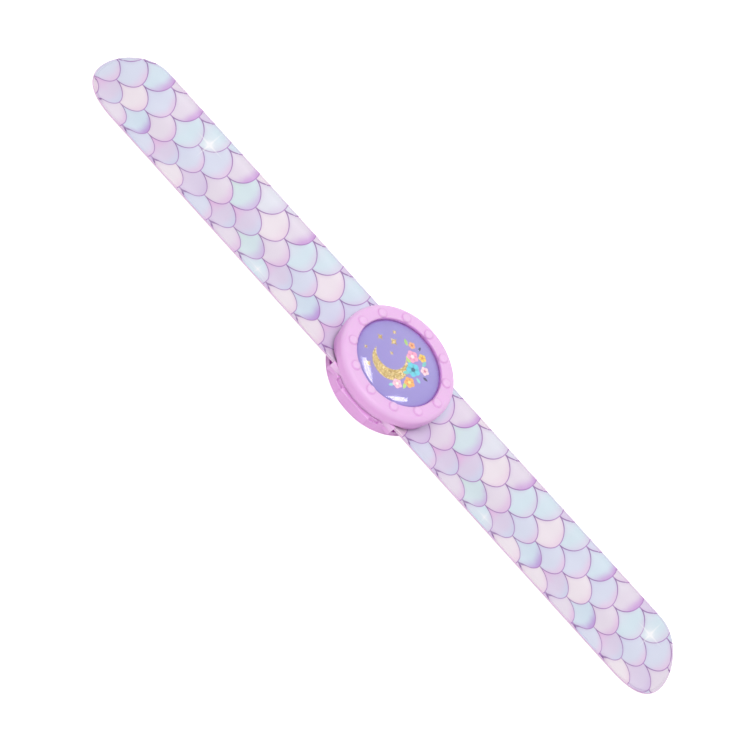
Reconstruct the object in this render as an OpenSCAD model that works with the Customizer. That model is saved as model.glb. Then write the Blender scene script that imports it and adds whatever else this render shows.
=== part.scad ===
// Slap bracelet: a straight spring band with a trough-shaped section, threaded through a round case
// in two pieces, whose bezel holds a printed disc under a clear dome.
// X runs along the band, Y across it and Z up. The origin is the middle of the case's underside.

/* [Band] */
// Length of the band, tip to tip
band_length = 220; // [180:1:260]
// Width of the band, edge to edge, as it lies curved
band_width = 26.2; // [22:0.1:30]
// Thickness of the band over the spring inside it
band_thickness = 1; // [0.8:0.05:1.4]
// Radius of the trough that the band's printed face is bent to across its width
trough_radius = 25.5; // [22:0.5:40]
// Width of the welded border round the band
border_width = 0.9; // [0.4:0.1:2]
// Thickness of the welded border
border_thickness = 0.45; // [0.35:0.05:0.75]

/* [Case base] */
// Thickness of the bottom plate under the band
floor_thickness = 1; // [0.8:0.05:2]
// Bevel round the underside of the bottom plate
floor_bevel = 0.35; // [0.1:0.05:0.6]
// Thickness of the base's round rim
rim_thickness = 1.3; // [0.9:0.05:1.6]
// Height of the rim below each slot for the band
sill_height = 2.1; // [1.4:0.1:2.4]
// Depth of each notch in the rim's face below the parting line
notch_depth = 1.1; // [0.6:0.1:1.5]
// How far each notch reaches into the rim
notch_reach = 0.45; // [0.3:0.05:0.7]
// Width of each notch in the rim
notch_width = 2.6; // [1.5:0.1:3]
// Width of the flat-fronted block in the middle of each side
block_width = 10.4; // [7:0.1:11]
// How far the block's flat front stands out past the middle of the rim's round face
block_proud = 0.1; // [0.05:0.05:0.4]
// Height of the block's underside above the bottom plate
block_lift = 0.2; // [0.1:0.1:1]

/* [Case top] */
// How far the bezel reaches past each edge of the band
bezel_reach = 4.3; // [3.6:0.1:6]
// How far the base's rim stays inside the bezel's outline
base_inset = 0.7; // [0.4:0.05:1]
// Height of the bezel
bezel_height = 4.1; // [3.8:0.1:6]
// Radius of the bezel's outer shoulder
shoulder_radius = 1.6; // [1:0.1:2.5]
// Radius that rounds the bezel's lower outer edge
foot_radius = 0.8; // [0.3:0.05:1]
// Width of the bezel ring, from its outline to its inner lip
bezel_width = 4.45; // [3.8:0.05:5]
// Radius that rounds the bezel's inner lip
lip_radius = 0.5; // [0.2:0.05:0.8]
// Depth of the seat for the disc below the bezel's top
seat_depth = 1.7; // [1.2:0.05:2.2]
// Thickness of the plate under the disc
plate_thickness = 1; // [0.8:0.1:1.6]
// Thickness of the case top's end walls over the band
wall_thickness = 1.3; // [0.9:0.05:1.6]
// Thickness of the skirts that go down inside the base
skirt_thickness = 0.9; // [0.7:0.05:1.1]
// How far the skirts go down inside the base's rim
skirt_overlap = 1.6; // [0.8:0.1:2]
// Width of the ledge between the block's front and the case top's side wall
ledge_width = 0.9; // [0.7:0.05:1.2]
// Height of the case top's side wall between the parting line and the bezel
side_height = 1.8; // [1.5:0.1:2.6]
// Length of the straight cheeks beside the band
cheek_length = 23.4; // [20:0.1:25]
// Thickness of the cheeks
cheek_thickness = 0.7; // [0.6:0.05:1]
// Height of the base's cheeks
cheek_height = 1.5; // [1:0.1:2]

/* [Studs] */
// Number of studs round the bezel
stud_count = 12; // [6:1:16]
// Diameter of a stud where it leaves the bezel
stud_diameter = 2.8; // [1.6:0.1:3]
// How far a stud stands above the bezel's top
stud_height = 0.38; // [0.2:0.02:0.8]
// Radius that rounds a stud's top edge
stud_round = 0.6; // [0.2:0.05:0.7]
// Distance of the stud circle from the bezel's outline
stud_inset = 3; // [2.5:0.05:3.2]

/* [Disc and dome] */
// Thickness of the printed disc
disc_thickness = 0.3; // [0.2:0.05:0.6]
// Height of the dome's upright edge
dome_edge = 0.65; // [0.3:0.05:1.2]
// Rise of the dome from its edge to its crown
dome_rise = 1.4; // [0.6:0.1:3]

/* [Fits] */
// Clearance between the band and the case, beside and below the band
band_gap = 0.15; // [0.05:0.05:0.3]
// Clearance above the band in the slots
slot_gap = 0.4; // [0.3:0.05:0.8]
// Clearance between the case's two halves
half_gap = 0.06; // [0.02:0.01:0.15]
// Clearance round the disc and the dome, and between them
cover_gap = 0.05; // [0.02:0.01:0.15]

/* [Hidden] */
$fn = 96;
// Past a surface that is cut through
over = 1;

// The band's trough: its axis runs along X above the band
band_half = band_width / 2;
band_bottom = floor_thickness + band_gap;
trough_axis = band_bottom + band_thickness + trough_radius;
border_inset = (band_thickness - border_thickness) / 2;
band_edge_top = trough_axis - sqrt(pow(trough_radius, 2) - pow(band_half, 2));

// The passage for the band through the case
passage_half = band_half + band_gap;
cheek_outer = passage_half + cheek_thickness;

// Levels and radii of the case
bezel_bottom = band_edge_top + slot_gap;
bezel_top = bezel_bottom + bezel_height;
parting = bezel_bottom - side_height;
bezel_radius = band_half + bezel_reach;
bezel_inner = bezel_radius - bezel_width;
base_radius = bezel_radius - base_inset;
rim_inner = base_radius - rim_thickness;
skirt_outer = rim_inner - half_gap;
skirt_inner = skirt_outer - skirt_thickness;
seat = bezel_top - seat_depth;
hollow_top = seat - plate_thickness;

// The disc and the dome
disc_radius = bezel_inner - cover_gap;
dome_bottom = seat + disc_thickness + cover_gap;
dome_top = dome_bottom + dome_edge;
dome_sphere = (pow(disc_radius, 2) + pow(dome_rise, 2)) / (2 * dome_rise);

// A cylinder along X round the trough's axis
module trough_cylinder(radius, length) {
    translate([0, 0, trough_axis])
        rotate([0, 90, 0])
            cylinder(r = radius, h = length, center = true, $fn = 180);
}

// The band's outline from above, drawn in from its edge by inset
module band_outline(inset) {
    end_radius = band_half - inset;
    straight = band_length - band_width;
    square([straight, 2 * end_radius], center = true);
    for (side = [-1, 1])
        translate([side * straight / 2, 0]) circle(end_radius);
}

// A layer of the band between two depths below its printed face
module band_layer(inset, upper, lower) {
    intersection() {
        linear_extrude(band_edge_top + over) band_outline(inset);
        difference() {
            trough_cylinder(trough_radius + lower, band_length + over);
            trough_cylinder(trough_radius + upper, band_length + 2 * over);
        }
    }
}

module band() {
    color([0.86, 0.85, 0.92]) {
        band_layer(0, border_inset, band_thickness - border_inset);
        band_layer(border_width, 0, band_thickness);
    }
}

// The width that the band passes through, from this level up
module passage(length) {
    translate([-length / 2, -passage_half, 0]) cube([length, 2 * passage_half, 2 * bezel_top]);
}

// A ring from one level to another
module ring(outer, inner, low, high) {
    translate([0, 0, low])
        difference() {
            cylinder(r = outer, h = high - low);
            translate([0, 0, -over]) cylinder(r = inner, h = high - low + 2 * over);
        }
}

// The base's bottom plate and rim as one solid drum with a bevelled foot
module base_drum() {
    rotate_extrude()
        polygon([
            [0, 0],
            [base_radius - floor_bevel, 0],
            [base_radius, floor_bevel],
            [base_radius, parting],
            [0, parting]
        ]);
}

// The shallow notches in the rim's face beside the blocks, each open at its top
module notches() {
    difference() {
        for (side = [-1, 1])
            translate([side * (block_width + notch_width) / 2, 0, parting])
                cube([notch_width, 4 * bezel_radius, 2 * notch_depth], center = true);
        cylinder(r = base_radius - notch_reach, h = bezel_top);
    }
}

module case_base() {
    front = base_radius + block_proud;
    color([0.9, 0.72, 0.9])
        difference() {
            union() {
                base_drum();
                translate([-block_width / 2, -front, floor_thickness + block_lift])
                    cube([block_width, 2 * front, parting - floor_thickness - block_lift]);
                translate([-cheek_length / 2, -cheek_outer, parting - cheek_height])
                    cube([cheek_length, 2 * cheek_outer, cheek_height]);
            }
            translate([0, 0, floor_thickness]) cylinder(r = rim_inner, h = bezel_top);
            translate([0, 0, sill_height]) passage(4 * bezel_radius);
            trough_cylinder(trough_radius + band_thickness + band_gap, 4 * bezel_radius);
            notches();
        }
}

// The bezel, its seat and its plate, as a section on the right of the Z axis
module bezel_section() {
    shoulder = bezel_radius - shoulder_radius;
    foot = bezel_radius - foot_radius;
    lip = bezel_inner + lip_radius;
    difference() {
        intersection() {
            translate([0, bezel_bottom]) square([bezel_radius, bezel_height]);
            union() {
                translate([0, bezel_bottom]) square([shoulder, bezel_height]);
                translate([0, bezel_bottom]) square([foot, bezel_height - shoulder_radius]);
                translate([0, bezel_bottom + foot_radius])
                    square([bezel_radius, bezel_height - shoulder_radius - foot_radius]);
                translate([shoulder, bezel_top - shoulder_radius]) circle(shoulder_radius);
                translate([foot, bezel_bottom + foot_radius]) circle(foot_radius);
            }
        }
        translate([0, seat]) square([bezel_inner, seat_depth + over]);
        difference() {
            translate([0, bezel_top - lip_radius]) square([lip, lip_radius + over]);
            translate([lip, bezel_top - lip_radius]) circle(lip_radius);
        }
        translate([0, bezel_bottom - over]) square([skirt_inner, hollow_top - bezel_bottom + over]);
    }
}

// A round button with a rounded top edge, standing on the bezel
module stud() {
    radius = stud_diameter / 2;
    foot = bezel_top - shoulder_radius / 2;
    top = bezel_top + stud_height;
    rotate_extrude() {
        translate([0, foot]) square([radius - stud_round, top - foot]);
        translate([0, foot]) square([radius, top - foot - stud_round]);
        intersection() {
            translate([radius - stud_round, top - stud_round]) circle(stud_round);
            translate([0, foot]) square([radius, top - foot]);
        }
    }
}

// The end walls over the band, whose lower edges follow its printed face
module end_walls() {
    outer = bezel_radius - foot_radius;
    intersection() {
        ring(outer, outer - wall_thickness, floor_thickness, bezel_bottom + over);
        trough_cylinder(trough_radius - slot_gap, 4 * bezel_radius);
        passage(4 * bezel_radius);
    }
}

// The skirts that go down inside the base's rim, and the cheeks beside the band
module side_walls() {
    difference() {
        union() {
            translate([0, 0, parting - skirt_overlap])
                cylinder(r = skirt_outer, h = bezel_bottom + over - parting + skirt_overlap);
            translate([-cheek_length / 2, -cheek_outer, parting + half_gap])
                cube([cheek_length, 2 * cheek_outer, side_height]);
            translate([0, 0, parting + half_gap])
                cylinder(r = base_radius + block_proud - ledge_width, h = side_height);
        }
        cylinder(r = skirt_inner, h = bezel_top);
        passage(4 * bezel_radius);
    }
}

module case_top() {
    color([0.93, 0.75, 0.93])
        difference() {
            union() {
                rotate_extrude() bezel_section();
                end_walls();
                side_walls();
                for (i = [0 : stud_count - 1])
                    rotate(i * 360 / stud_count) translate([bezel_radius - stud_inset, 0, 0]) stud();
            }
            intersection() {
                cylinder(r = bezel_radius - foot_radius - wall_thickness, h = hollow_top);
                passage(4 * bezel_radius);
            }
        }
}

module picture_disc() {
    color([0.67, 0.62, 0.87]) translate([0, 0, seat]) cylinder(r = disc_radius, h = disc_thickness);
}

module dome_cover() {
    color([0.9, 0.95, 1, 0.35])
        intersection() {
            translate([0, 0, dome_bottom]) cylinder(r = disc_radius, h = dome_edge + dome_rise);
            translate([0, 0, dome_top + dome_rise - dome_sphere]) sphere(r = dome_sphere, $fn = 180);
        }
}

band();
case_base();
case_top();
picture_disc();
dome_cover();
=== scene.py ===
"""Looks of the slap bracelet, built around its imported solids.

X runs along the band, Y across it and Z up, in metres. The printed band and the clear dome are modelled
here. The case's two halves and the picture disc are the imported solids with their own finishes. Patterns are
drawn in mm. Colours are red, green and blue as a screen shows them, from 0 to 255.
"""

import math

import bmesh
import bpy
from mathutils import Matrix, Vector


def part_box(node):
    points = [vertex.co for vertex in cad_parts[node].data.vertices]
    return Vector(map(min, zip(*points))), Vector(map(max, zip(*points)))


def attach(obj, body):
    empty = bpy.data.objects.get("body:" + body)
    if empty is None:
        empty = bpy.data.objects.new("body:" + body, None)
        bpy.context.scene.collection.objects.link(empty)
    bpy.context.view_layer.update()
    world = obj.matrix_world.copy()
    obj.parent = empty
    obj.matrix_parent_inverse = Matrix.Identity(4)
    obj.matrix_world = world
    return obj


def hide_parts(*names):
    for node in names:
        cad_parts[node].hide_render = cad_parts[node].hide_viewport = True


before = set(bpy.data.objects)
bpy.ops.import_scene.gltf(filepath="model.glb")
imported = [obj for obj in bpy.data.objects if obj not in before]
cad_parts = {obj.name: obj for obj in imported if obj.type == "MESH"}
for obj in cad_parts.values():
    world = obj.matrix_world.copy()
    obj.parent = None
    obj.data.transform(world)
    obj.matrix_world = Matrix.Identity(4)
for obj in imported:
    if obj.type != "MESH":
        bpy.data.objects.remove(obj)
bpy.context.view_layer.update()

MM = 0.001

# The band: its outline, its trough and how finely its mesh is cut
BAND_LOW, BAND_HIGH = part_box("band")
BAND_HALF_WIDTH = BAND_HIGH.y
BAND_TIP_CENTRE = BAND_HIGH.x - BAND_HALF_WIDTH
BAND_THICKNESS = 1.0 * MM
TROUGH_RADIUS = 25.5 * MM
TROUGH_AXIS = BAND_LOW.z + BAND_THICKNESS + TROUGH_RADIUS
TIP_STEPS = 64
LENGTH_SPACING = 3.5 * MM
WIDTH_SPACING = 1.1 * MM
# How deep its skin lies. Columns: distance in from the outline, depth below the printed face, both in mm
BAND_SKIN = (
    (0.0, 0.4),
    (0.05, 0.32),
    (0.15, 0.28),
    (0.34, 0.28),
    (0.4, 0.32),
    (0.46, 0.32),
    (0.52, 0.28),
    (0.8, 0.26),
    (0.95, 0.05),
    (1.15, 0.0),
)
# The printed skin goes down the band's edge to this share of its thickness, and the plain back begins there
PRINT_DEPTH = 0.45
BACK_COLOUR = (236, 208, 232)

# The dome: the profile of its solid, with a small rounding where its edge meets its crown
DOME_LOW, DOME_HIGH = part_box("dome_cover")
DOME_RADIUS = DOME_HIGH.x
DOME_RISE = 1.4 * MM
DOME_SPHERE = (DOME_RADIUS ** 2 + DOME_RISE ** 2) / (2 * DOME_RISE)
DOME_EDGE_ROUND = 0.22 * MM
CROWN_STEPS = 16
EDGE_STEPS = 5
DOME_STEPS = 128
# Between these distances from the middle, in mm, the dome is tinted: a painted refraction of the colours
# that its edge bends
DOME_TINT_REACH = (12.1, 12.8)
DOME_EDGE_PAINTED_REFRACTION = (242, 200, 236)

# Edges sharper than this stay sharp. Distances below these, in metres, count as none: of a point from the
# flat sheet, of a point from a cut, and between two points.
SHARP_ANGLE = math.radians(40)
FLAT_TOLERANCE = 1e-9
CUT_TOLERANCE = 1e-7
MERGE_DISTANCE = 1e-6

# Unevenness that the plastics share: waves in each mm, the finest waves' share of the height, and the
# levels of the fine waves between which they become scuffs
SLOW_WAVES = 0.12
FINE_WAVES = 1.6
GRAIN_WAVES = 9.0
GRAIN_HEIGHT = 0.12
SCUFF_LEVELS = (0.5, 0.75)

# The case's pink on its sides and on top. The sides are painted shade, a deeper pink for the less light that
# falls on them. The one turns into the other as the upward part of a face's direction goes from the first of
# these shares to the second.
PINK_SIDE_PAINTED_SHADE = (239, 179, 236)
PINK_TOP = (243, 197, 243)
PINK_LIFT = (-0.1, 0.8)
# Painted shade and light on the case's pink, in mm: its hollow, slots and seat are painted a deeper pink,
# as shade and the light bounced between its pink walls would make them, and the recess under the bezel is
# painted lighter against its shade. Each pair is a soft step between two distances from the middle, from
# the band's centre line (side) or from the underside (top and floor).
HOLLOW_REACH = (15.42, 15.6)
HOLLOW_TOP = (7.4, 7.7)
HOLLOW_FLOOR = (0.8, 0.95)
HOLLOW_PAINTED_SHADE = (212, 98, 212)
SLOT_REACH = (16.45, 16.6)
SLOT_SIDE = (13.2, 13.35)
SEAT_REACH = (12.98, 13.2)
SEAT_FLOOR = (8.3, 8.5)
SEAT_PAINTED_SHADE = (245, 175, 248)
RECESS_REACH = (15.2, 15.4)
RECESS_FLOOR = (4.2, 4.35)
RECESS_TOP = (6.2, 6.5)
RECESS_PAINTED_LIGHT = (254, 206, 252)
# The studs get painted shade round their feet and a painted highlight on top. Distances on a stud are from
# its side (foot) or from its middle (top).
STUD_COUNT = 12
STUD_CIRCLE = 14.4
STUD_RADIUS = 1.4
STUD_FOOT_REACH = (0.05, 0.4)
STUD_FOOT_FLOOR = (9.0, 9.5)
STUD_FOOT_PAINTED_SHADE = (226, 156, 222)
STUD_TOP_REACH = (0.75, 1.1)
STUD_TOP_FLOOR = (10.4, 10.5)
STUD_TOP_PAINTED_HIGHLIGHT = (250, 212, 249)
STUD_STRENGTH = 0.3

# The fish-scale print. A column is half a scale long, and a row is half a scale wide.
COLUMN = 5.444
COLUMN_START = 26.43
COLUMNS_IN_REPEAT = 16
# Columns: place across the band in mm, row number there
PRINT_ROWS = (
    (-14.0, -2.37),
    (-11.4, -2.0),
    (-9.7, -1.9),
    (-7.85, -1.62),
    (-6.05, -1.33),
    (-4.35, -1.0),
    (0.92, 0.0),
    (6.07, 1.0),
    (11.37, 2.0),
    (14.0, 2.5),
)
PRINT_REACH = PRINT_ROWS[-1][0]
ROW_REACH = 3.0
# How the rows bow along the band, in mm for each mm and each mm squared
ROW_LEAN = 0.0018
ROW_BOW = 0.00008
# Length of a scale's rounded end in columns, how much it swells and shrinks along the repeat and where it is
# longest, and the power of its oval: 2 is an ellipse, and less makes it leave its cusps at a slant
SCALE_END = 0.92
SCALE_END_SWELL = 0.07
SWELL_COLUMN = 3
SCALE_END_POWER = 1.6

# Kinds of scale: the colours of the root, the body and the rounded end
SCALE_KINDS = {
    "b": ((220, 224, 238), (214, 230, 240), (221, 217, 236)),
    "B": ((215, 227, 239), (214, 229, 241), (205, 164, 221)),
    "P": ((231, 223, 236), (231, 220, 235), (208, 160, 221)),
    "w": ((227, 221, 234), (229, 230, 241), (225, 215, 236)),
    "L": ((213, 217, 238), (218, 222, 240), (230, 206, 234)),
    "M": ((211, 231, 228), (213, 229, 235), (211, 190, 230)),
    "C": ((238, 225, 235), (240, 229, 237), (239, 216, 233)),
    "p": ((228, 216, 233), (232, 221, 235), (229, 197, 230)),
    "R": ((230, 187, 227), (221, 208, 232), (212, 215, 238)),
    "V": ((214, 225, 239), (211, 226, 240), (190, 152, 218)),
    "l": ((226, 209, 232), (222, 209, 234), (218, 199, 232)),
}
# The repeat, row by row: the kind of each scale, from the row's first column on
SCALE_CHART = {
    3: "plLplbCw",
    2: "PbbBPbPw",
    1: "CbCLLbLM",
    0: "RpLLCpLp",
    -1: "RMRVRVRl",
    -2: "LpbCCpLC",
    -3: "plplplpl",
}
# Where a scale's colours meet, in columns from the start of its rounded end, and how far out towards its
# arc, which is at 1, the end's colour takes over. Slow waves move these places to and fro.
ROOT_REACH = (-0.8, 0.15)
END_START = (0.12, 0.95)
END_HUG = (0.36, 1.02)
WANDER = 0.7
WANDER_WAVES = 0.25

# The drawn line, in mm: its width on an arc, what the cusps add to it, and the shares of its width between
# which it fades. The stem that joins an end to the next cusp fades between two distances of its own.
LINE_WIDTH = 0.12
LINE_CUSP_WIDTH = 0.06
LINE_FADE = (0.4, 1.5)
STEM_FADE = (0.06, 0.3)
LINE_STRENGTH = 0.85
LINE_COLOUR = (170, 112, 190)
CUSP_COLOUR = (126, 68, 150)
# How far apart two ovals lie whose sizes differ by 1, and a distance that no stem reaches, both in mm
OVAL_SPREAD = 1.07 * COLUMN
OUT_OF_REACH = 9.0
# The shade beside the line: its reach in mm, and its strength on an arc and what the cusps add to it
SHADE_REACH = (0.1, 1.3)
SHADE_STRENGTH = 0.06
SHADE_CUSP_STRENGTH = 0.2
SHADE_COLOUR = (198, 156, 212)

# The weld, in mm in from the outline: its pressed line, that line's reach to both sides, and the edge
PRESSED_LINE = 0.43
PRESSED_REACH = (0.03, 0.13)
PRESSED_STRENGTH = 0.35
PRESSED_COLOUR = (206, 160, 208)
EDGE_REACH = (0.05, 0.22)
EDGE_COLOUR = (226, 178, 222)

# Printed glints: place along and across the band in mm, and strength
GLINTS = (
    ((-75.8, 8.1), 0.85),
    ((98.2, 7.6), 0.8),
    ((44.8, -8.8), 0.4),
    ((-42.8, -9.6), 0.45),
)
# The parts of a glint: where its arms begin to fade, their reach and width in mm, and their strengths
GLINT_ARM_START = 0.5
GLINT_ARM_REACH = 7.0
GLINT_ARM_WIDTH = 0.42
GLINT_ARM_STRENGTH = 0.6
GLINT_GLOW_REACH = 4.0
GLINT_GLOW_STRENGTH = 0.5
GLINT_CORE_REACH = 1.8
GLINT_CORE_STRENGTH = 0.6
GLINT_COLOUR = (252, 252, 255)

# The disc's ground: its two lavenders, how they change across the disc, and its rim, darker with painted
# shade
GROUND = ((141, 129, 196), (151, 141, 202))
GROUND_SLOPE = 0.04
DISC_RIM_REACH = (10.4, 13.0)
DISC_RIM_STRENGTH = 0.25
DISC_RIM_PAINTED_SHADE = (112, 92, 178)
# The disc's picture, in mm from its middle: to the right is +Y and up is -X.
# Columns of a flower: place, radius, colour of its petals and of its heart
FLOWERS = (
    ((2.6, -3.9), 2.2, (96, 200, 216), (40, 92, 120)),
    ((5.6, -1.3), 1.9, (240, 158, 190), (252, 222, 226)),
    ((-1.4, -5.6), 1.7, (240, 170, 92), (250, 216, 130)),
    ((7.9, -3.4), 1.3, (238, 200, 84), (206, 140, 72)),
    ((5.4, -6.3), 1.35, (246, 208, 214), (206, 120, 150)),
    ((-4.9, -3.6), 1.5, (244, 186, 206), (250, 232, 220)),
    ((8.2, 0.9), 1.1, (238, 172, 120), (196, 110, 70)),
)
# A flower's petals, the folds between them and its heart. Notches and reaches are shares of the radius, and
# the outline's soft edge is in mm. Round a petal the cosine goes from 1 at its tip to -1 in the notch.
PETALS = 5
PETAL_NOTCH = 0.09
PETAL_EDGE = (-0.12, 0.08)
FOLD_COSINE = (-1.0, 0.4)
FOLD_REACH = (0.3, 1.0)
FOLD_LIGHT = 0.86
HEART_REACH = (0.22, 0.36)
# Columns of a leaf: place, turn in degrees, length, colour
LEAVES = (
    ((0.2, -3.2), 150.0, 2.4, (116, 196, 190)),
    ((3.7, -1.2), 75.0, 2.5, (172, 208, 112)),
    ((6.9, -4.9), 10.0, 2.2, (116, 196, 190)),
    ((-3.4, -5.3), 200.0, 2.3, (172, 208, 112)),
    ((1.4, -6.9), 260.0, 1.9, (140, 206, 200)),
    ((7.4, 2.6), 60.0, 2.2, (172, 208, 112)),
    ((-6.6, -2.7), 155.0, 1.9, (140, 206, 200)),
    ((3.6, -7.9), 280.0, 1.7, (66, 60, 96)),
    ((9.4, -1.2), 15.0, 1.5, (66, 60, 96)),
)
# Half a leaf's width as a share of its length, and its soft edge in mm
LEAF_WIDTH = 0.22
LEAF_EDGE = (-0.06, 0.06)
# The gold crescent: an outer disc, the disc that is cut out of it, and their soft edge in mm
CRESCENT = (((-1.6, 1.7), 5.4), ((0.5, 3.0), 4.5))
CRESCENT_EDGE = (-0.07, 0.07)
# Columns of a gold star: place, reach of its points
STARS = (
    ((4.3, 4.9), 1.5),
    ((6.8, 6.6), 0.9),
    ((1.9, 8.3), 1.2),
    ((-7.6, 5.4), 1.3),
    ((-4.2, 9.0), 0.8),
    ((0.9, 3.1), 0.8),
)
# The power that draws a star's sides in, and its soft edge in shares of the sum at its points
STAR_POWER = 0.6
STAR_EDGE = (0.9, 1.1)
# The gold glitter: its three colours, the levels of its flakes between them, and the flakes in each mm
GOLD = ((168, 136, 68), (204, 174, 98), (240, 222, 168))
GOLD_LEVELS = ((0.25, 0.5), (0.72, 0.86))
GOLD_FLAKES = 4.2

# The camera: azimuth, elevation and roll in degrees
CAMERA_ANGLES = (-1.983, 46.396, -49.303)
CAMERA_TARGET = Vector((-1.825, -4.857, 5.0)) * MM
CAMERA_DISTANCE = 0.9
CAMERA_SENSOR = 36.0
CAMERA_LENS = 165.47

# The studio: a light table, its glow to the camera and its two whites, which drift into each other
FLOOR_HALF = 2.0
FLOOR_GLOW = 0.8
FLOOR_WAVES = 0.02
FLOOR_COLOURS = ((250, 250, 251), (253, 253, 253))
WHITE = (1.0, 1.0, 1.0, 1.0)
SURROUND = 0.56
# Columns of a softbox: name, place, direction of its first side, its two sides in metres, power in watts
SOFTBOXES = (
    ("softbox_left", (-0.105, 0.425, 1.0), (0.72, -0.69, 0.0), (0.27, 0.065), 0.54),
    ("softbox_right", (0.24, 0.48, 1.0), (0.53, 0.85, 0.0), (0.26, 0.05), 0.42),
    ("overhead", (-0.1, -0.5, 1.5), (1.0, 0.0, 0.0), (1.0, 0.9), 9.8),
    ("back_light", (0.0, 1.6, 0.3), (1.0, 0.0, 0.0), (2.6, 0.4), 3.0),
)


def linear(colour):
    """A screen colour as linear light with full alpha, by the sRGB rule."""
    shares = [channel / 255 for channel in colour]
    light = [share / 12.92 if share <= 0.04045 else ((share + 0.055) / 1.055) ** 2.4 for share in shares]
    return (*light, 1.0)


class Graph:
    """Adds nodes to one tree and links them, for the materials and the shared groups."""

    def __init__(self, tree):
        self.tree = tree

    def add(self, kind, **settings):
        node = self.tree.nodes.new("ShaderNode" + kind)
        for name, value in settings.items():
            setattr(node, name, value)
        return node

    def feed(self, socket, value):
        """Links a socket to the input, or sets the input to a plain value."""
        if isinstance(value, bpy.types.NodeSocket):
            self.tree.links.new(value, socket)
        elif value is not None:
            socket.default_value = value

    def node(self, kind, inputs, **settings):
        node = self.add(kind, **settings)
        for name, value in inputs.items():
            self.feed(node.inputs[name], value)
        return node

    def math(self, operation, a, b=None, c=None, clamp=False):
        node = self.add("Math", operation=operation, use_clamp=clamp)
        for socket, value in zip(node.inputs, (a, b, c)):
            self.feed(socket, value)
        return node.outputs[0]

    def total(self, values):
        result = values[0]
        for value in values[1:]:
            result = self.math("ADD", result, value)
        return result

    def product(self, values):
        result = values[0]
        for value in values[1:]:
            result = self.math("MULTIPLY", result, value)
        return result

    def mix(self, kind, factor, a, b):
        """A Mix node. Its sockets share their names between kinds of data, so they go by number."""
        first, result = {"FLOAT": (2, 0), "RGBA": (6, 2)}[kind]
        node = self.add("Mix", data_type=kind, clamp_factor=True)
        self.feed(node.inputs[0], factor)
        self.feed(node.inputs[first], a)
        self.feed(node.inputs[first + 1], b)
        return node.outputs[result]

    def blend(self, factor, a, b):
        """Colour a where the factor is 0 and colour b where it is 1."""
        return self.mix("RGBA", factor, a, b)

    def between(self, factor, a, b):
        """Value a where the factor is 0 and value b where it is 1."""
        return self.mix("FLOAT", factor, a, b)

    def smooth(self, value, low, high):
        """0 at low, 1 at high, and a soft step between them."""
        node = self.node(
            "MapRange",
            {"Value": value, "From Min": low, "From Max": high},
            interpolation_type="SMOOTHSTEP",
        )
        return node.outputs["Result"]

    def inverse(self, value):
        """What is missing to 1."""
        return self.math("SUBTRACT", 1.0, value)

    def fade(self, value, low, high):
        """1 at low, 0 at high, and a soft step between them."""
        return self.inverse(self.smooth(value, low, high))

    def size(self, value):
        """The value without its sign."""
        return self.math("ABSOLUTE", value)

    def apart(self, a, b):
        """How far two values are from each other."""
        return self.size(self.math("SUBTRACT", a, b))

    def hypot(self, a, b):
        return self.math("SQRT", self.math("ADD", self.math("MULTIPLY", a, a), self.math("MULTIPLY", b, b)))

    def split(self, vector):
        outputs = self.node("SeparateXYZ", {"Vector": vector}).outputs
        return outputs["X"], outputs["Y"], outputs["Z"]

    def join(self, x, y):
        return self.node("CombineXYZ", {"X": x, "Y": y}).outputs[0]

    def offset(self, place, centre):
        """The way from a centre to a place."""
        node = self.add("VectorMath", operation="SUBTRACT")
        self.feed(node.inputs[0], place)
        self.feed(node.inputs[1], centre)
        return node.outputs[0]

    def millimetres(self):
        """The place on the piece, in mm."""
        node = self.add("VectorMath", operation="SCALE")
        self.feed(node.inputs["Vector"], self.add("TexCoord").outputs["Object"])
        self.feed(node.inputs["Scale"], 1 / MM)
        return node.outputs[0]

    def noise(self, vector, scale, detail=2.0, rough=0.5):
        inputs = {"Vector": vector, "Scale": scale, "Detail": detail, "Roughness": rough}
        return self.node("TexNoise", inputs).outputs["Fac"]

    def ramp(self, factor, colours):
        """An even ramp of constant steps over a list of colours."""
        node = self.add("ValToRGB")
        node.color_ramp.interpolation = "CONSTANT"
        points = node.color_ramp.elements
        while len(points) < len(colours):
            points.new(1.0)
        for index, colour in enumerate(colours):
            points[index].position = index / len(colours)
            points[index].color = colour
        self.feed(node.inputs["Fac"], factor)
        return node.outputs["Color"]

    def group(self, tree, inputs):
        """Places a shared group with its own values."""
        return self.node("Group", inputs, node_tree=tree).outputs

    def bump(self, height, distance):
        return self.node("Bump", {"Height": height, "Strength": 1.0, "Distance": distance}).outputs[0]


SOCKETS = {"value": "NodeSocketFloat", "colour": "NodeSocketColor", "vector": "NodeSocketVector"}


def new_group(name, inputs, outputs):
    """A shader node group with named sockets: its graph, its inputs and its output node's sockets."""
    tree = bpy.data.node_groups.new(name, "ShaderNodeTree")
    for direction, sockets in (("INPUT", inputs), ("OUTPUT", outputs)):
        for socket, kind in sockets.items():
            tree.interface.new_socket(socket, in_out=direction, socket_type=SOCKETS[kind])
    given = tree.nodes.new("NodeGroupInput").outputs
    wanted = tree.nodes.new("NodeGroupOutput").inputs
    return Graph(tree), given, wanted


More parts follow.
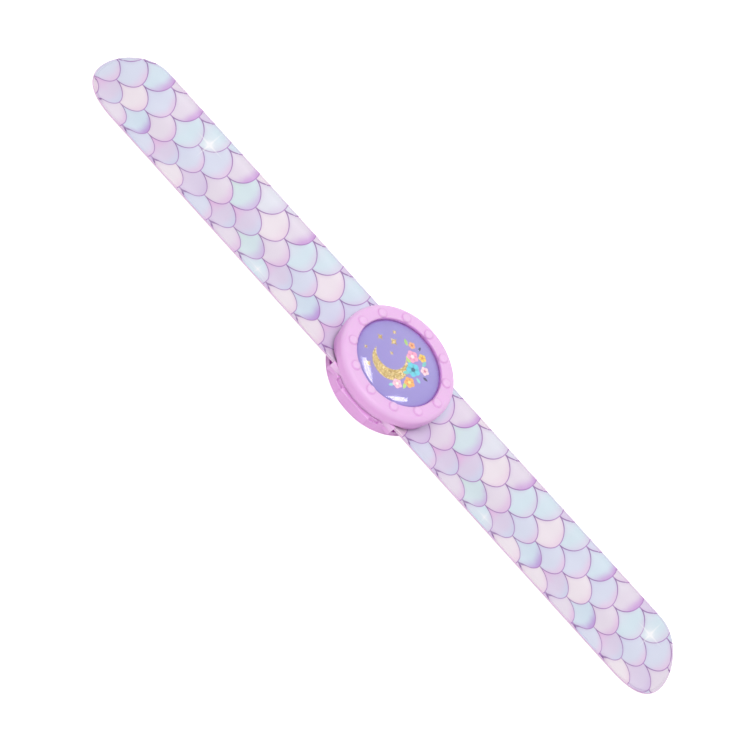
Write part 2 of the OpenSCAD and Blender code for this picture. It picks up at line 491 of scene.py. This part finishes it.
def surface_variation_group():
    """Slow and fine unevenness that moulded and laminated plastics share."""
    graph, given, wanted = new_group(
        "surface_variation",
        {"Place": "vector", "Colour": "colour", "Mottle": "value", "Roughness": "value", "Scuffs": "value"},
        {"Colour": "colour", "Roughness": "value", "Height": "value"},
    )
    slow = graph.noise(given["Place"], SLOW_WAVES)
    fine = graph.noise(given["Place"], FINE_WAVES, detail=4.0, rough=0.6)
    grain = graph.noise(given["Place"], GRAIN_WAVES)
    mottle = graph.math("MULTIPLY", graph.math("SUBTRACT", slow, 0.5), given["Mottle"])
    light = graph.math("ADD", 1.0, mottle)
    mottled = graph.node("HueSaturation", {"Value": light, "Color": given["Colour"]})
    graph.feed(wanted["Colour"], mottled.outputs[0])
    scuffs = graph.math("MULTIPLY", graph.smooth(fine, *SCUFF_LEVELS), given["Scuffs"])
    graph.feed(wanted["Roughness"], graph.math("ADD", given["Roughness"], scuffs))
    graph.feed(wanted["Height"], graph.math("ADD", slow, graph.math("MULTIPLY", grain, GRAIN_HEIGHT)))
    return graph.tree


def glint_group():
    """A printed four-armed glint with a soft glow."""
    graph, given, wanted = new_group(
        "glint", {"Place": "vector", "Centre": "vector", "Strength": "value"}, {"Mask": "value"}
    )
    x, y, _ = graph.split(graph.offset(given["Place"], given["Centre"]))
    x = graph.size(x)
    y = graph.size(y)

    def arm(along, across):
        width = graph.math("MULTIPLY", graph.fade(along, 0.0, GLINT_ARM_REACH), GLINT_ARM_WIDTH)
        narrow = graph.math("SUBTRACT", 1.0, graph.math("DIVIDE", across, width), clamp=True)
        strength = graph.fade(along, GLINT_ARM_START, GLINT_ARM_REACH)
        return graph.product([narrow, strength, GLINT_ARM_STRENGTH])

    distance = graph.hypot(x, y)
    glow = graph.math("MULTIPLY", graph.fade(distance, 0.0, GLINT_GLOW_REACH), GLINT_GLOW_STRENGTH)
    core = graph.math("MULTIPLY", graph.fade(distance, 0.0, GLINT_CORE_REACH), GLINT_CORE_STRENGTH)
    light = graph.total([arm(x, y), arm(y, x), glow, core])
    graph.feed(wanted["Mask"], graph.math("MULTIPLY", light, given["Strength"], clamp=True))
    return graph.tree


def row_number(graph, y):
    """The print's row number at a place across the band, by a curve from 0 to 1 both ways."""
    node = graph.add("FloatCurve")
    points = node.mapping.curves[0].points
    ends_given = len(points)
    for index, (place, row) in enumerate(PRINT_ROWS):
        where = ((place + PRINT_REACH) / (2 * PRINT_REACH), (row + ROW_REACH) / (2 * ROW_REACH))
        if index < ends_given:
            points[index].location = where
        else:
            points.new(*where)
    node.mapping.update()
    share = graph.math("MULTIPLY_ADD", y, 1 / (2 * PRINT_REACH), 0.5)
    graph.feed(node.inputs["Value"], share)
    return graph.math("MULTIPLY_ADD", node.outputs[0], 2 * ROW_REACH, -ROW_REACH)


def nearest_row(graph, row, parity):
    """The nearest row whose number differs from parity by an even number."""
    halves = graph.math("MULTIPLY", graph.math("SUBTRACT", row, parity), 0.5)
    return graph.math("MULTIPLY_ADD", graph.math("ROUND", halves), 2.0, parity)


def kind_number(graph, column, row):
    """Looks a scale up in the chart. The kinds are numbered as shares of 1."""
    kinds = list(SCALE_KINDS)
    found = []
    for number, letters in SCALE_CHART.items():
        # A row has a scale in every second column, and its first column is one past its own number
        steps = graph.math("MULTIPLY", graph.math("SUBTRACT", column, number + 1), 0.5)
        steps = graph.math("FLOORED_MODULO", steps, len(letters))
        share = graph.math("DIVIDE", graph.math("ADD", steps, 0.5), len(letters))
        levels = [(kinds.index(letter) + 0.5) / len(kinds) for letter in letters]
        level = graph.ramp(share, [(value, value, value, 1.0) for value in levels])
        here = graph.math("COMPARE", row, number, 0.5)
        found.append(graph.math("MULTIPLY", level, here))
    return graph.total(found)


def edge_distance(graph, x, y):
    """Distance in from the band's outline, in mm."""
    past = graph.math("SUBTRACT", graph.size(x), BAND_TIP_CENTRE / MM)
    past = graph.math("MAXIMUM", past, 0.0)
    return graph.math("SUBTRACT", BAND_HALF_WIDTH / MM, graph.hypot(past, y))


def scale_oval(graph, along, side):
    """1 on the arc of a scale's rounded end, and less inside it."""
    along = graph.math("POWER", along, SCALE_END_POWER)
    return graph.math("SQRT", graph.math("MULTIPLY_ADD", side, side, along))


def scale_colours(graph, place, kind, along, side):
    """A scale's own colours: its root, its body and the rounded end, which hugs its arc."""
    root, body, end = (
        graph.ramp(kind, [linear(colour) for colour in colours]) for colours in zip(*SCALE_KINDS.values())
    )
    waves = graph.math("SUBTRACT", graph.noise(place, WANDER_WAVES), 0.5)
    ahead = graph.math("ADD", along, graph.math("MULTIPLY", waves, WANDER))
    colour = graph.blend(graph.fade(ahead, *ROOT_REACH), body, root)
    radius = scale_oval(graph, graph.math("MAXIMUM", along, 0.0), side)
    hug = graph.math("MULTIPLY", graph.smooth(radius, *END_HUG), graph.smooth(ahead, *END_START))
    return graph.blend(hug, colour, end)


def scale_lines(graph, colour, part, end, oval, side):
    """The drawn line and its shade, stronger towards the cusps, and the stem from an end to the next one."""
    side = graph.size(side)
    cusp = graph.math("POWER", side, 2.0)
    gap = graph.math("MULTIPLY", graph.apart(oval, 1.0), OVAL_SPREAD)
    before_end = graph.math("MULTIPLY", graph.math("LESS_THAN", part, end), OUT_OF_REACH)
    stem = graph.math("MULTIPLY_ADD", side, COLUMN, before_end)
    width = graph.math("MULTIPLY_ADD", cusp, LINE_CUSP_WIDTH, LINE_WIDTH)
    line = graph.fade(gap, *(graph.math("MULTIPLY", width, share) for share in LINE_FADE))
    line = graph.math("MAXIMUM", line, graph.fade(stem, *STEM_FADE))
    strength = graph.math("MULTIPLY_ADD", cusp, SHADE_CUSP_STRENGTH, SHADE_STRENGTH)
    shade = graph.math("MULTIPLY", graph.fade(gap, *SHADE_REACH), strength)
    colour = graph.blend(shade, colour, linear(SHADE_COLOUR))
    ink = graph.blend(cusp, linear(LINE_COLOUR), linear(CUSP_COLOUR))
    return graph.blend(graph.math("MULTIPLY", line, LINE_STRENGTH), colour, ink)


def weld_colours(graph, colour, x, y):
    """The pressed line of the weld and the edge outside it."""
    edge = edge_distance(graph, x, y)
    pressed = graph.fade(graph.apart(edge, PRESSED_LINE), *PRESSED_REACH)
    colour = graph.blend(graph.math("MULTIPLY", pressed, PRESSED_STRENGTH), colour, linear(PRESSED_COLOUR))
    return graph.blend(graph.fade(edge, *EDGE_REACH), colour, linear(EDGE_COLOUR))


def scale_print_group(glint):
    """Overlapping fish scales whose rounded ends point along +X, each coloured from its root to its end."""
    graph, given, wanted = new_group("scale_print", {"Place": "vector"}, {"Colour": "colour"})
    place = given["Place"]
    x, y, _ = graph.split(place)
    lean = graph.math("MULTIPLY_ADD", x, ROW_BOW, ROW_LEAN)
    row = row_number(graph, graph.math("MULTIPLY_ADD", x, lean, y))

    # Which column is this, and how far along it
    along = graph.math("MULTIPLY_ADD", x, 1 / COLUMN, -COLUMN_START / COLUMN)
    column = graph.math("FLOOR", along)
    part = graph.math("SUBTRACT", along, column)
    next_column = graph.math("ADD", column, 1.0)

    # The rounded end that starts in this column, as an oval one row wide on each side
    turn = graph.math("MULTIPLY", graph.math("SUBTRACT", column, SWELL_COLUMN), math.tau / COLUMNS_IN_REPEAT)
    end = graph.math("MULTIPLY_ADD", graph.math("COSINE", turn), SCALE_END_SWELL, SCALE_END)
    upper_row = nearest_row(graph, row, next_column)
    upper_side = graph.math("SUBTRACT", row, upper_row)
    reach = graph.math("DIVIDE", part, end)
    oval = scale_oval(graph, reach, upper_side)
    inside = graph.math("LESS_THAN", oval, 1.0)

    # Which scale is this, and how far along it
    lower_row = nearest_row(graph, row, column)
    lower_side = graph.math("SUBTRACT", row, lower_row)
    kind = kind_number(
        graph,
        graph.between(inside, next_column, column),
        graph.between(inside, lower_row, upper_row),
    )
    scale_along = graph.between(inside, graph.math("SUBTRACT", part, 1.0), reach)
    scale_side = graph.between(inside, lower_side, upper_side)

    colour = scale_colours(graph, place, kind, scale_along, scale_side)
    colour = scale_lines(graph, colour, part, end, oval, upper_side)
    for centre, strength in GLINTS:
        light = graph.group(glint, {"Place": place, "Centre": (*centre, 0.0), "Strength": strength})["Mask"]
        colour = graph.blend(light, colour, linear(GLINT_COLOUR))
    graph.feed(wanted["Colour"], weld_colours(graph, colour, x, y))
    return graph.tree


def flower_group():
    """A round flower: its petals, the folds between them and its heart."""
    graph, given, wanted = new_group(
        "flower",
        {"Place": "vector", "Centre": "vector", "Radius": "value"},
        {"Petals": "value", "Folds": "value", "Heart": "value"},
    )
    x, y, _ = graph.split(graph.offset(given["Place"], given["Centre"]))
    lobes = graph.math("COSINE", graph.math("MULTIPLY", graph.math("ARCTAN2", y, x), PETALS))
    rim = graph.math("MULTIPLY_ADD", lobes, PETAL_NOTCH, 1 - PETAL_NOTCH)
    rim = graph.math("MULTIPLY", rim, given["Radius"])
    distance = graph.hypot(x, y)
    graph.feed(wanted["Petals"], graph.fade(graph.math("SUBTRACT", distance, rim), *PETAL_EDGE))
    share = graph.math("DIVIDE", distance, given["Radius"])
    folds = graph.math("MULTIPLY", graph.fade(lobes, *FOLD_COSINE), graph.fade(share, *FOLD_REACH))
    graph.feed(wanted["Folds"], folds)
    graph.feed(wanted["Heart"], graph.fade(share, *HEART_REACH))
    return graph.tree


def leaf_group():
    """A slim leaf, pointed at both ends."""
    graph, given, wanted = new_group(
        "leaf",
        {"Place": "vector", "Centre": "vector", "Turn": "value", "Length": "value"},
        {"Mask": "value"},
    )
    offset = graph.offset(given["Place"], given["Centre"])
    turned = graph.node("VectorRotate", {"Vector": offset, "Angle": given["Turn"]}, rotation_type="Z_AXIS")
    along, across, _ = graph.split(turned.outputs[0])
    share = graph.math("DIVIDE", graph.math("MULTIPLY", along, 2.0), given["Length"])
    belly = graph.inverse(graph.math("MULTIPLY", share, share))
    width = graph.product([belly, given["Length"], LEAF_WIDTH])
    outside = graph.math("SUBTRACT", graph.size(across), width)
    graph.feed(wanted["Mask"], graph.fade(outside, *LEAF_EDGE))
    return graph.tree


def round_spot(graph, place, centre, radius):
    """1 inside a circle and 0 outside it."""
    x, y, _ = graph.split(graph.offset(place, (*centre, 0.0)))
    return graph.fade(graph.math("SUBTRACT", graph.hypot(x, y), radius), *CRESCENT_EDGE)


def star_spot(graph, place, centre, reach):
    """1 inside a four-pointed star and 0 outside it."""
    x, y, _ = graph.split(graph.offset(place, (*centre, 0.0)))
    roots = [graph.math("POWER", graph.size(value), STAR_POWER) for value in (x, y)]
    return graph.fade(graph.total(roots), *(share * reach ** STAR_POWER for share in STAR_EDGE))


def gold_glitter(graph, place):
    """Flakes of gold in three colours."""
    flakes = graph.node("TexVoronoi", {"Vector": place, "Scale": GOLD_FLAKES}).outputs["Color"]
    sparkle = graph.node("SeparateColor", {"Color": flakes}).outputs[0]
    gold = linear(GOLD[0])
    for levels, lighter in zip(GOLD_LEVELS, GOLD[1:]):
        gold = graph.blend(graph.smooth(sparkle, *levels), gold, linear(lighter))
    return gold


def picture_group(flower, leaf):
    """A gold glitter crescent and stars over a spray of flowers and leaves, on lavender."""
    graph, given, wanted = new_group("picture", {"Place": "vector"}, {"Colour": "colour"})
    x, y, _ = graph.split(given["Place"])
    place = graph.join(y, graph.math("MULTIPLY", x, -1.0))
    slope = graph.math("MULTIPLY_ADD", y, GROUND_SLOPE, 0.5)
    colour = graph.blend(slope, *(linear(lavender) for lavender in GROUND))
    # Painted shade: the disc darkens towards its rim
    rim = graph.math("MULTIPLY", graph.smooth(graph.hypot(x, y), *DISC_RIM_REACH), DISC_RIM_STRENGTH)
    colour = graph.blend(rim, colour, linear(DISC_RIM_PAINTED_SHADE))

    outer, cut = (round_spot(graph, place, centre, radius) for centre, radius in CRESCENT)
    spots = [graph.math("MULTIPLY", outer, graph.inverse(cut))]
    spots += [star_spot(graph, place, centre, reach) for centre, reach in STARS]
    colour = graph.blend(graph.math("MINIMUM", graph.total(spots), 1.0), colour, gold_glitter(graph, place))

    for centre, turn, length, shade in LEAVES:
        inputs = {"Place": place, "Centre": (*centre, 0.0), "Turn": -math.radians(turn), "Length": length}
        colour = graph.blend(graph.group(leaf, inputs)["Mask"], colour, linear(shade))
    for centre, radius, petals, heart in FLOWERS:
        masks = graph.group(flower, {"Place": place, "Centre": (*centre, 0.0), "Radius": radius})
        folds = linear([channel * FOLD_LIGHT for channel in petals])
        shaded = graph.blend(masks["Folds"], linear(petals), folds)
        colour = graph.blend(masks["Petals"], colour, shaded)
        colour = graph.blend(masks["Heart"], colour, linear(heart))
    graph.feed(wanted["Colour"], colour)
    return graph.tree


def stud_painted_shade_and_highlight(graph, colour, x, y, z, reach):
    """Painted shade round each stud's foot and a painted highlight on its top. The ring of studs is found
    by turning each place into the sector of the stud on +X.
    """
    step = math.tau / STUD_COUNT
    turn = graph.math("ADD", graph.math("ARCTAN2", y, x), step / 2)
    turn = graph.math("SUBTRACT", graph.math("FLOORED_MODULO", turn, step), step / 2)
    along = graph.math("SUBTRACT", graph.math("MULTIPLY", reach, graph.math("COSINE", turn)), STUD_CIRCLE)
    across = graph.math("MULTIPLY", reach, graph.math("SINE", turn))
    from_stud = graph.hypot(along, across)
    foot = graph.fade(graph.apart(from_stud, STUD_RADIUS), *STUD_FOOT_REACH)
    foot = graph.product([foot, graph.smooth(z, *STUD_FOOT_FLOOR), STUD_STRENGTH])
    colour = graph.blend(foot, colour, linear(STUD_FOOT_PAINTED_SHADE))
    top = graph.fade(from_stud, *STUD_TOP_REACH)
    top = graph.product([top, graph.smooth(z, *STUD_TOP_FLOOR), STUD_STRENGTH])
    return graph.blend(top, colour, linear(STUD_TOP_PAINTED_HIGHLIGHT))


def case_colour_group():
    """Pink plastic with painted shade: deeper on its sides, in its hollow, slots and seat and round each
    stud's foot. Painted light makes the recess and the studs' tops lighter.
    """
    graph, given, wanted = new_group(
        "case_colour", {"Place": "vector", "Normal": "vector"}, {"Colour": "colour"}
    )
    x, y, z = graph.split(given["Place"])
    lift = graph.split(given["Normal"])[2]
    # Painted shade: the sides are a deeper pink than the top, for the less light that falls on them
    colour = graph.blend(graph.smooth(lift, *PINK_LIFT), linear(PINK_SIDE_PAINTED_SHADE), linear(PINK_TOP))
    reach = graph.hypot(x, y)
    beside = graph.smooth(graph.size(y), *SLOT_SIDE)

    # Painted light: the recess under the bezel is painted lighter against its shade
    recess = graph.product([
        graph.smooth(reach, *RECESS_REACH),
        graph.smooth(z, *RECESS_FLOOR),
        graph.fade(z, *RECESS_TOP),
        beside,
    ])
    colour = graph.blend(recess, colour, linear(RECESS_PAINTED_LIGHT))
    # Painted shade round the studs' feet and painted highlights on their tops
    colour = stud_painted_shade_and_highlight(graph, colour, x, y, z, reach)

    # Painted shade: the hollow and the slots beside the band are a deeper pink
    slot = graph.math("MULTIPLY", graph.fade(reach, *SLOT_REACH), graph.inverse(beside))
    hollow = graph.math("MAXIMUM", graph.fade(reach, *HOLLOW_REACH), slot)
    hollow = graph.product([hollow, graph.smooth(z, *HOLLOW_FLOOR), graph.fade(z, *HOLLOW_TOP)])
    colour = graph.blend(hollow, colour, linear(HOLLOW_PAINTED_SHADE))
    # Painted shade: the seat's wall is a deeper pink
    seat = graph.math("MULTIPLY", graph.fade(reach, *SEAT_REACH), graph.smooth(z, *SEAT_FLOOR))
    graph.feed(wanted["Colour"], graph.blend(seat, colour, linear(SEAT_PAINTED_SHADE)))
    return graph.tree


def new_material(name):
    """An empty material: its graph and its Principled shader, already linked to the output."""
    material = bpy.data.materials.new(name)
    material.use_nodes = True
    tree = material.node_tree
    tree.nodes.clear()
    graph = Graph(tree)
    shader = graph.add("BsdfPrincipled")
    output = graph.add("OutputMaterial")
    tree.links.new(shader.outputs[0], output.inputs["Surface"])
    return material, graph, shader


def set_values(shader, values):
    """Sets what is the same all over a surface on the shader's own sockets."""
    for name, value in values.items():
        shader.inputs[name].default_value = value


def finish_surface(graph, shader, variation, place, colour, mottle, roughness, scuffs, bump):
    """Feeds a Principled shader from the shared surface variation. The bump is in mm."""
    inputs = {"Place": place, "Colour": colour, "Mottle": mottle, "Roughness": roughness, "Scuffs": scuffs}
    surface = graph.group(variation, inputs)
    graph.feed(shader.inputs["Base Color"], surface["Colour"])
    graph.feed(shader.inputs["Roughness"], surface["Roughness"])
    graph.feed(shader.inputs["Normal"], graph.bump(surface["Height"], bump * MM))


def printed_vinyl(variation, scale_print):
    """The band's laminated face and edge."""
    material, graph, shader = new_material("printed_vinyl")
    place = graph.millimetres()
    colour = graph.group(scale_print, {"Place": place})["Colour"]
    finish_surface(
        graph, shader, variation, place, colour, mottle=0.05, roughness=0.34, scuffs=0.1, bump=0.03
    )
    return material


def plain_vinyl(variation):
    """The band's back."""
    material, graph, shader = new_material("plain_vinyl")
    place = graph.millimetres()
    colour = linear(BACK_COLOUR)
    finish_surface(
        graph, shader, variation, place, colour, mottle=0.08, roughness=0.4, scuffs=0.15, bump=0.03
    )
    return material


def pink_plastic(variation, case_colour):
    """The case's soft satin plastic, which lets a little light in."""
    material, graph, shader = new_material("pink_plastic")
    place = graph.millimetres()
    normal = graph.add("TexCoord").outputs["Normal"]
    colour = graph.group(case_colour, {"Place": place, "Normal": normal})["Colour"]
    finish_surface(
        graph, shader, variation, place, colour, mottle=0.04, roughness=0.4, scuffs=0.1, bump=0.02
    )
    set_values(shader, {
        "Subsurface Weight": 0.35,
        "Subsurface Radius": (1.0, 0.6, 1.0),
        "Subsurface Scale": 1.0 * MM,
    })
    return material


def printed_card(variation, picture):
    """The disc's matt printed face."""
    material, graph, shader = new_material("printed_card")
    place = graph.millimetres()
    colour = graph.group(picture, {"Place": place})["Colour"]
    finish_surface(
        graph, shader, variation, place, colour, mottle=0.05, roughness=0.5, scuffs=0.1, bump=0.01
    )
    return material


def clear_dome_plastic(variation):
    """Clear plastic with a painted refraction near its edge. It lets shadow rays straight through, so that
    the disc is lit.
    """
    material, graph, shader = new_material("clear_dome")
    place = graph.millimetres()
    x, y, _ = graph.split(place)
    # Painted refraction: the dome's edge is tinted
    tint = graph.smooth(graph.hypot(x, y), *DOME_TINT_REACH)
    colour = graph.blend(tint, WHITE, linear(DOME_EDGE_PAINTED_REFRACTION))
    finish_surface(
        graph, shader, variation, place, colour, mottle=0.0, roughness=0.02, scuffs=0.02, bump=0.0002
    )
    # The body bends the picture only a little, and the coat has the plastic's full shine
    set_values(shader, {
        "Transmission Weight": 1.0,
        "IOR": 1.12,
        "Coat Weight": 1.0,
        "Coat Roughness": 0.07,
        "Coat IOR": 1.49,
    })
    through = graph.add("BsdfTransparent")
    mix = graph.add("MixShader")
    graph.feed(mix.inputs[0], graph.add("LightPath").outputs["Is Shadow Ray"])
    graph.feed(mix.inputs[1], shader.outputs[0])
    graph.feed(mix.inputs[2], through.outputs[0])
    output = next(node for node in graph.tree.nodes if node.type == "OUTPUT_MATERIAL")
    graph.feed(output.inputs["Surface"], mix.outputs[0])
    return material


def add_object(name, data):
    """Puts data into the scene as a new object at the origin."""
    item = bpy.data.objects.new(name, data)
    bpy.context.scene.collection.objects.link(item)
    return item


def mesh_object(name, mesh_maker, materials):
    """Makes a piece from a bmesh with its normals outwards, smooth except at its sharp edges."""
    mesh = bpy.data.meshes.new(name)
    bm = bmesh.new()
    mesh_maker(bm)
    for face in bm.faces:
        face.smooth = True
    for edge in bm.edges:
        edge.smooth = edge.calc_face_angle(0.0) < SHARP_ANGLE
    bm.to_mesh(mesh)
    bm.free()
    for material in materials:
        mesh.materials.append(material)
    return add_object(name, mesh)


def sheet_middle(bm):
    """The faces of the band's sheet that lie inside its stepped border."""
    return [face for face in bm.faces if all(abs(vert.co.z) < FLAT_TOLERANCE for vert in face.verts)]


def touched(faces):
    """Faces with all their edges and vertices, as an operator takes them."""
    edges = {edge for face in faces for edge in face.edges}
    verts = {vert for face in faces for vert in face.verts}
    return list(verts) + list(edges) + list(faces)


def cut_evenly(bm, axis, reach, spacing, region):
    """Cuts a region of the flat sheet into even strips at right angles to one axis."""
    count = math.ceil(2 * reach / spacing)
    for index in range(1, count):
        where = Vector()
        where[axis] = -reach + 2 * reach * index / count
        normal = Vector()
        normal[axis] = 1.0
        sheet = touched(region(bm))
        bmesh.ops.bisect_plane(bm, geom=sheet, dist=CUT_TOLERANCE, plane_co=where, plane_no=normal)


def shape_band(bm):
    """A flat sheet with round tips and a stepped border, doubled to a solid and bent to a trough."""
    first = bm.verts.new((BAND_TIP_CENTRE, -BAND_HALF_WIDTH, -BAND_SKIN[0][1] * MM))
    tip_centre = (BAND_TIP_CENTRE, 0.0, 0.0)
    bmesh.ops.spin(bm, geom=[first], cent=tip_centre, axis=(0.0, 0.0, 1.0), angle=math.pi, steps=TIP_STEPS)
    bmesh.ops.mirror(bm, geom=bm.verts[:] + bm.edges[:], axis="X", merge_dist=-1.0)
    ends = [vert for vert in bm.verts if len(vert.link_edges) == 1]
    for side in (-1, 1):
        pair = [vert for vert in ends if vert.co.y * side > 0]
        bmesh.ops.contextual_create(bm, geom=pair)
    bmesh.ops.contextual_create(bm, geom=bm.edges[:])
    middle = bm.faces[:]
    bm.normal_update()
    if middle[0].normal.z < 0:
        bmesh.ops.reverse_faces(bm, faces=middle)
    for (inset, depth), (next_inset, next_depth) in zip(BAND_SKIN, BAND_SKIN[1:]):
        bmesh.ops.inset_region(
            bm,
            faces=middle,
            thickness=(next_inset - inset) * MM,
            depth=(depth - next_depth) * MM,
            use_even_offset=True,
            use_boundary=True,
        )
    cut_evenly(bm, 0, BAND_TIP_CENTRE, LENGTH_SPACING, lambda mesh: mesh.faces[:])
    cut_evenly(bm, 1, BAND_HALF_WIDTH, WIDTH_SPACING, sheet_middle)

    # The back is the face mirrored through the middle of the thickness
    middle_plane = Matrix.Translation((0.0, 0.0, BAND_THICKNESS / 2))
    sheet = touched(bm.faces[:])
    bmesh.ops.mirror(bm, geom=sheet, matrix=middle_plane, axis="Z", merge_dist=-1.0)
    rim = [edge for edge in bm.edges if edge.is_boundary]
    bmesh.ops.bridge_loops(bm, edges=rim)
    for face in bm.faces:
        face.material_index = 0 if face.calc_center_median().z > -BAND_THICKNESS * PRINT_DEPTH else 1
    bmesh.ops.recalc_face_normals(bm, faces=bm.faces[:])
    for vert in bm.verts:
        radius = TROUGH_RADIUS - vert.co.z
        vert.co.z = TROUGH_AXIS - math.sqrt(radius ** 2 - vert.co.y ** 2)


def shape_dome(bm):
    """A shallow clear dome: its half profile is spun from arcs, and the profile is spun round Z."""
    sweep = math.asin((DOME_RADIUS - DOME_EDGE_ROUND) / (DOME_SPHERE - DOME_EDGE_ROUND))
    crown = bm.verts.new((0.0, 0.0, DOME_HIGH.z))
    sphere_centre = Vector((0.0, 0.0, DOME_HIGH.z - DOME_SPHERE))
    sideways = (0.0, 1.0, 0.0)
    arc = bmesh.ops.spin(
        bm, geom=[crown], cent=sphere_centre, axis=sideways, angle=sweep, steps=CROWN_STEPS
    )
    shoulder = arc["geom_last"][0]
    outwards = (shoulder.co - sphere_centre).normalized()
    edge_centre = shoulder.co - outwards * DOME_EDGE_ROUND
    rest = math.pi / 2 - sweep
    arc = bmesh.ops.spin(
        bm, geom=[shoulder], cent=edge_centre, axis=sideways, angle=rest, steps=EDGE_STEPS
    )
    edge_top = arc["geom_last"][0]
    foot = bm.verts.new((DOME_RADIUS, 0.0, DOME_LOW.z))
    underside = bm.verts.new((0.0, 0.0, DOME_LOW.z))
    bm.edges.new((edge_top, foot))
    bm.edges.new((foot, underside))
    bmesh.ops.spin(
        bm,
        geom=bm.verts[:] + bm.edges[:],
        cent=(0.0, 0.0, 0.0),
        axis=(0.0, 0.0, 1.0),
        angle=math.tau,
        steps=DOME_STEPS,
        use_merge=True,
    )
    bmesh.ops.remove_doubles(bm, verts=bm.verts[:], dist=MERGE_DISTANCE)
    bmesh.ops.recalc_face_normals(bm, faces=bm.faces[:])


def aim(location, target, roll):
    """A matrix that stands at a place and looks along its own -Z at a target."""
    back = (location - target).normalized()
    right = Vector((0.0, 0.0, 1.0)).cross(back).normalized()
    up = back.cross(right)
    turned_right = math.cos(roll) * right - math.sin(roll) * up
    turned_up = math.sin(roll) * right + math.cos(roll) * up
    matrix = Matrix((turned_right, turned_up, back)).transposed().to_4x4()
    matrix.translation = location
    return matrix


def add_camera():
    """The photograph's view: from the front and well above, with the band running down to the right."""
    azimuth, elevation, roll = (math.radians(angle) for angle in CAMERA_ANGLES)
    flat = math.cos(elevation)
    back = Vector((math.sin(azimuth) * flat, -math.cos(azimuth) * flat, math.sin(elevation)))
    camera = add_object("camera", bpy.data.cameras.new("camera"))
    camera.data.sensor_width = CAMERA_SENSOR
    camera.data.lens = CAMERA_LENS
    camera.matrix_world = aim(CAMERA_TARGET + back * CAMERA_DISTANCE, CAMERA_TARGET, roll)
    bpy.context.scene.camera = camera


def add_softbox(name, place, along, size, power):
    """An oval light that faces the case, with its first side along a level direction."""
    back = place.normalized()
    side = (along - back * along.dot(back)).normalized()
    light = bpy.data.lights.new(name, "AREA")
    light.shape = "ELLIPSE"
    light.size, light.size_y = size
    light.energy = power
    matrix = Matrix((side, back.cross(side), back)).transposed().to_4x4()
    matrix.translation = place
    add_object(name, light).matrix_world = matrix


def add_floor():
    """A large white sheet that glows to the camera, as a light table does."""
    mesh = bpy.data.meshes.new("floor")
    bm = bmesh.new()
    bmesh.ops.create_grid(bm, x_segments=1, y_segments=1, size=FLOOR_HALF)
    bm.to_mesh(mesh)
    bm.free()
    material, graph, shader = new_material("floor")
    grain = graph.noise(graph.millimetres(), FLOOR_WAVES)
    shade = graph.blend(grain, *(linear(white) for white in FLOOR_COLOURS))
    graph.feed(shader.inputs["Base Color"], shade)
    set_values(shader, {"Roughness": 0.9, "Specular IOR Level": 0.1, "Emission Color": WHITE})
    seen = graph.add("LightPath").outputs["Is Camera Ray"]
    graph.feed(shader.inputs["Emission Strength"], graph.math("MULTIPLY", seen, FLOOR_GLOW))
    mesh.materials.append(material)
    floor = add_object("floor", mesh)


def add_studio():
    """The floor, an even white surround and the softboxes."""
    add_floor()
    world = bpy.data.worlds.new("surround")
    bpy.context.scene.world = world
    world.use_nodes = True
    set_values(world.node_tree.nodes["Background"], {"Color": WHITE, "Strength": SURROUND})
    for name, place, along, size, power in SOFTBOXES:
        add_softbox(name, Vector(place), Vector(along), size, power)
    bpy.context.scene.view_settings.view_transform = "Standard"


add_camera()
add_studio()

variation = surface_variation_group()
scale_print = scale_print_group(glint_group())

band_finishes = [printed_vinyl(variation, scale_print), plain_vinyl(variation)]
band = mesh_object("printed_band", shape_band, band_finishes)
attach(band, "root")
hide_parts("band")

dome = mesh_object("clear_dome", shape_dome, [clear_dome_plastic(variation)])
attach(dome, "root")
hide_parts("dome_cover")

pink = pink_plastic(variation, case_colour_group())
card = printed_card(variation, picture_group(flower_group(), leaf_group()))
for node, material in (("case_base", pink), ("case_top", pink), ("picture_disc", card)):
    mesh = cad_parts[node].data
    mesh.materials.clear()
    mesh.materials.append(material)
